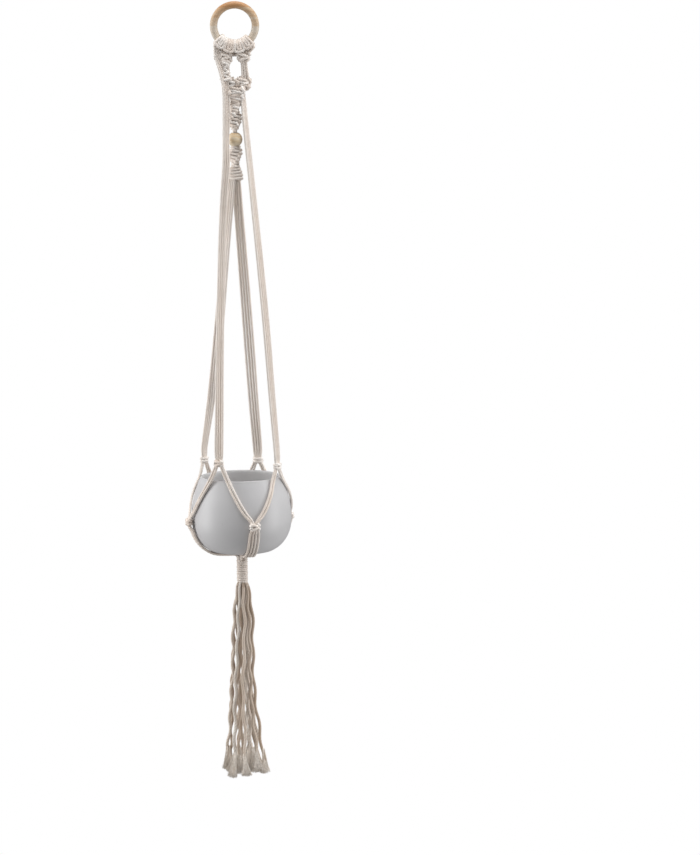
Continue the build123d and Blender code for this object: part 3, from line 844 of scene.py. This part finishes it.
def sling_and_base():
    """The net of cords that holds the pot, down to where it is drawn together under the base."""
    arms = (("front_left", "left", "front"), ("front_right", "front", "right"),
            ("back_right", "right", "back"), ("back_left", "back", "left"))
    for rim_name, *belly_pair in arms:
        skin = Skin()
        for belly_name in belly_pair:
            sling_arm(skin, rim_name, belly_name)
        cotton_piece(skin, f"sling_arms_{rim_name}")

    gathered = Skin()
    reach = pot_widest_radius - pot_base_radius + cord_radius + sling_gap
    drop = pot_widest_height - pot_base_height + cord_radius + sling_gap
    under = pot_base_height - cord_radius - sling_gap
    gather_height = -0.7388  # below this the cords go into a piece of their own
    for name, azimuth in belly_knots.items():
        top = at(azimuth, belly_knot_radius, belly_knot_height + 4.4 * mm)
        knot_piece(f"belly_knot_{name}", top, along_tangent(azimuth), 4.2 * mm, 3.0 * mm,
                   (4.0 * mm,) * 2, held_places(2, 1, 2.9 * mm), overlap=1 * mm)
        skin = Skin()
        for lane, sideways in enumerate(row_of_four):
            inner = (2.2 if lane in (1, 2) else 4.4) * mm
            places = [(belly_knot_radius, belly_knot_height - 1 * mm, 0.62),
                      (belly_knot_radius + 0.4 * mm, belly_knot_height - 5 * mm, 0.95)]
            for turn in np.radians((16, 28, 42, 59, 77)):
                places.append((pot_base_radius + reach * math.cos(turn),
                               pot_widest_height - drop * math.sin(turn), 1.16))
            places += [(24 * mm, under, 1), (13 * mm, under - 0.3 * mm, 0.8),
                       (inner + 3.4 * mm, under - 1.2 * mm, 0.62),
                       (inner + 1 * mm, under - 5 * mm, 0.55),
                       (inner, under - 9.5 * mm, 0.5), (inner, under - 14 * mm, 0.5)]
            line = smooth_line([at(azimuth, radius, height, sideways * share)
                                for radius, height, share in places])
            split = int(np.argmax(line[:, 2] < gather_height))
            skin.cord(line[: split + 1])
            gathered.cord(line[split:])
        nodes = [f"base_cords_{name}"] + (["base_gather"] if name == "front" else [])
        cotton_piece(skin, *nodes)
    bridge(gathered.piece("gathered_cords_under_pot", cotton))


def glazed_pot():
    """A bowl-shaped pot, thrown thin, with a soft lip and a shallow foot."""
    lip = 1.3 * mm
    heights = np.linspace(pot_rim_height - lip, pot_widest_height, 22)
    outside = [(pot_radius(z), z) for z in heights]
    belly = pot_widest_radius - pot_base_radius
    drop = pot_widest_height - pot_base_height
    for turn in np.linspace(0, math.pi / 2, 26)[1:]:
        radius = pot_base_radius + belly * math.cos(turn)
        outside.append((radius, pot_widest_height - drop * math.sin(turn)))
    outside[-1] = (pot_base_radius, pot_base_height)
    foot = [(pot_base_radius - 0.8 * mm, pot_base_height), (25.5 * mm, pot_base_height),
            (24.6 * mm, pot_base_height + 0.9 * mm), (12 * mm, pot_base_height + 1.0 * mm),
            (0, pot_base_height + 1.0 * mm)]
    floor = pot_base_height + 5 * mm
    inside = [(0, floor), (15 * mm, floor), (pot_base_radius - pot_wall, floor)]
    for turn in np.linspace(math.pi / 2, 0, 22)[1:]:
        radius = pot_base_radius - pot_wall + belly * math.cos(turn)
        inside.append((radius, pot_widest_height - (pot_widest_height - floor) * math.sin(turn)))
    for z in heights[::-1][1:]:
        thinning = max(0.0, 1 - (heights[0] - z) / (6 * mm))
        inside.append((pot_radius(z) - pot_wall + 1.2 * mm * thinning**1.5, z))
    lip_half = (pot_wall - 1.2 * mm) / 2
    lip_middle = pot_radius(heights[0]) - lip_half
    rounding = [(lip_middle - lip_half * math.cos(turn), heights[0] + lip * math.sin(turn))
                for turn in np.linspace(0, math.pi, 11)[1:-1]]
    outline = outside + foot + inside + rounding
    made = turned_solid("glazed_pot", outline, 144, (0, 0, 0), True, glaze)
    # Marks the inside of the pot, which takes the glaze's lighter, painted-light colour.
    inner = made.data.attributes.new("inner", "FLOAT", "POINT")
    for held, vertex in zip(inner.data, made.data.vertices):
        radius = math.hypot(vertex.co.x, vertex.co.y)
        outer = pot_radius(min(vertex.co.z, pot_rim_height))
        held.value = float(vertex.co.z > floor - 0.5 * mm and radius < outer - pot_wall * 0.6)
    place(made, "pot", "pot_ceramic", "pot")


# ---- wrap and tassel ----
def wrap():
    """A short cord wound tightly round the gathered ends."""
    low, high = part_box("gathering_wrap")
    wound = 3.1 * mm
    radius = high.x - wound / 2 + 0.4 * mm
    turns = (high.z - low.z - wound) / (wound * 0.96)
    angles = np.linspace(0, turns * 2 * math.pi, int(turns * 28))
    heights = np.linspace(high.z - wound / 2, low.z + wound / 2, len(angles))
    radii = radius + 0.25 * mm * np.sin(angles * 0.37)
    line = np.stack([radii * np.cos(angles), radii * np.sin(angles), heights], axis=1)
    tucked_top = [(radius * 0.55, -1 * mm, high.z - wound),
                  (radius * 0.8, -1.5 * mm, high.z - wound * 0.6)]
    line = np.concatenate([tucked_top, line])
    skin = Skin()
    skin.cord(line, diameter=wound, relief=pulled_tight * 0.4)
    cotton_piece(skin, "gathering_wrap", body="wrap")
    skin = Skin()
    for reach, count in ((3.9 * mm, 10), (1.6 * mm, 5)):
        for i in range(count):
            turn = 2 * math.pi * i / count
            side = np.array([reach * math.cos(turn), reach * math.sin(turn), 0])
            skin.cord([side + (0, 0, high.z + 1 * mm), side + (0, 0, low.z - 1 * mm)], diameter=2.9 * mm)
    cotton_piece(skin, "wrap_core_cords", body="wrap")


def tuft(number, line, tone):
    """A strand's end, brushed out into a flat fan of fibres."""
    skin = Skin()
    end = line[-1]
    way = unit(line[-1] - line[-12])
    turn = 0.9 * math.sin(number * 2.4)
    flat = np.array([math.cos(turn), math.sin(turn), 0])
    deep = np.cross(way, flat)
    longest = chance.uniform(9, 17) * mm
    lean = chance.normal(0, 0.8) * mm
    for _ in range(170):
        across = chance.uniform(-1, 1)
        through = chance.uniform(-1, 1)
        back = chance.uniform(2, 22) * mm
        length = longest * chance.uniform(0.8, 1.0) * (1 - 0.12 * across**2)
        spread = 7.6 * mm * across
        curl = chance.normal(0, 0.35) * mm
        root = end - way * back + flat * across * 1.6 * mm + deep * through * 1.6 * mm
        knee = end - way * back * 0.35 + flat * across * 2.8 * mm + deep * through * 1.9 * mm
        middle = end + way * length * 0.2 + flat * (spread * 0.62 + lean * 0.4 + curl * 0.5)
        middle = middle + deep * through * 1.9 * mm
        tip = end + way * length + flat * (spread + lean) + deep * (through * 3.2 * mm + curl)
        late = middle * 0.4 + tip * 0.6 + flat * curl * 0.5
        skin.fibre([root, knee, middle, late, tip], 0.36 * mm, 0.2 * mm,
                   np.clip(tone * 0.3 + chance.uniform(0.2, 0.7), 0, 1))
    made = skin.piece(f"tuft_{number:02d}", tuft_cotton)
    return place(made, "tassel", "cotton_cord")


def tassel():
    """Sixteen free strands, still crimped from being knotted, each ending in its tuft."""
    necks = Skin()
    for number, route in enumerate(tassel_routes, 1):
        line = smooth_line(route)
        even, even_along = evenly_spaced(line, skin_step)
        sides, ups = carried_frames(even)
        wave = chance.uniform(30, 52) * mm
        start = chance.uniform(0, 2 * math.pi)
        fade = np.clip(even_along / (20 * mm), 0, 1) * 1.3 * mm
        phase = 2 * math.pi * even_along / wave
        crimped = even + sides * (fade * np.sin(phase + start))[:, None]
        crimped += ups * (fade * 0.6 * np.sin(phase / 1.3 + 2 * start))[:, None]
        tone = chance.uniform(0, 1)
        skin = Skin()
        skin.cord(crimped, tone=tone, thickness=strand_thickness)
        strand = skin.piece(f"strand_{number:02d}", tassel_cotton_shaded)
        place(strand, "tassel", "cotton_cord", f"tassel_strand_{number:02d}")
        top = np.array(route[0])
        tuft(number, crimped, tone)
        down = unit(line[3] - line[0])
        necks.cord(smooth_line([np.array([top[0] * 0.5, top[1] * 0.5, -0.766]),
                                np.array([top[0] * 0.55, top[1] * 0.55, -0.776]),
                                top - down * 2 * mm, top + down * 1.5 * mm]))
    bridge(necks.piece("tassel_neck_cords", tassel_cotton_shaded))


wooden_ring()
shoulders()
yoke()
spirals()
legs()
sling_and_base()
glazed_pot()
wrap()
tassel()


# ---- studio ----
def soft_light(name, place_at, aim_at, size, power):
    """A large softbox that faces a point."""
    data = bpy.data.lights.new(name, "AREA")
    data.shape = "RECTANGLE"
    data.size = size[0]
    data.size_y = size[1]
    data.energy = power
    lamp = add_to_scene(name, data)
    lamp.location = place_at
    direction = np.asarray(aim_at) - np.asarray(place_at)
    flat = math.hypot(direction[0], direction[1])
    lamp.rotation_euler = (math.atan2(flat, -direction[2]), 0, math.atan2(-direction[0], direction[1]))


def studio():
    """White room light, brighter from both sides behind the planter, over a plain pale floor."""
    world = bpy.data.worlds.new("white_room")
    bpy.context.scene.world = world
    world.use_nodes = True
    tree = world.node_tree
    tree.nodes.clear()
    seen = add_node(tree, "Background", None, {"Color": (1, 1, 1, 1), "Strength": 1.0})
    lighting = add_node(tree, "Background", None, {"Color": (1, 1, 1, 1), "Strength": 0.50})
    ray = add_node(tree, "LightPath")
    mixed = add_node(tree, "MixShader", None, {0: ray, 1: lighting, 2: seen})
    add_node(tree, "OutputWorld", None, {"Surface": mixed})
    bpy.context.scene.view_settings.view_transform = "Standard"
    soft_light("left_side", (-2.1, -0.1, -0.4), (0, 0, -0.5), (1.1, 2.4), 34)
    soft_light("right_side", (2.1, -0.35, -0.4), (0, 0, -0.5), (1.1, 2.4), 27)
    soft_light("overhead", (0.2, -0.2, 1.8), (0, 0, -0.6), (1.8, 1.8), 42)

    mesh = bpy.data.meshes.new("floor")
    floor_height = -1.6
    corners = [(x, y, floor_height) for x, y in ((-10, -8), (10, -8), (10, 24), (-10, 24))]
    mesh.from_pydata(corners, [], [(0, 1, 2, 3)])
    floor = add_to_scene("floor", mesh)
    material, tree, shader = new_material("white_paper_sweep", 0.9, 0.1)
    set_sockets(tree, shader, {"Base Color": linear("#a8a8a8")})
    lit = add_node(tree, "Emission", None, {"Color": linear("#ffffff"), "Strength": 1.0})
    ray = add_node(tree, "LightPath")
    shown = add_node(tree, "MixShader", None, {0: ray, 1: shader, 2: lit})
    set_sockets(tree, tree.nodes["Material Output"], {"Surface": shown})
    mesh.materials.append(material)


studio()
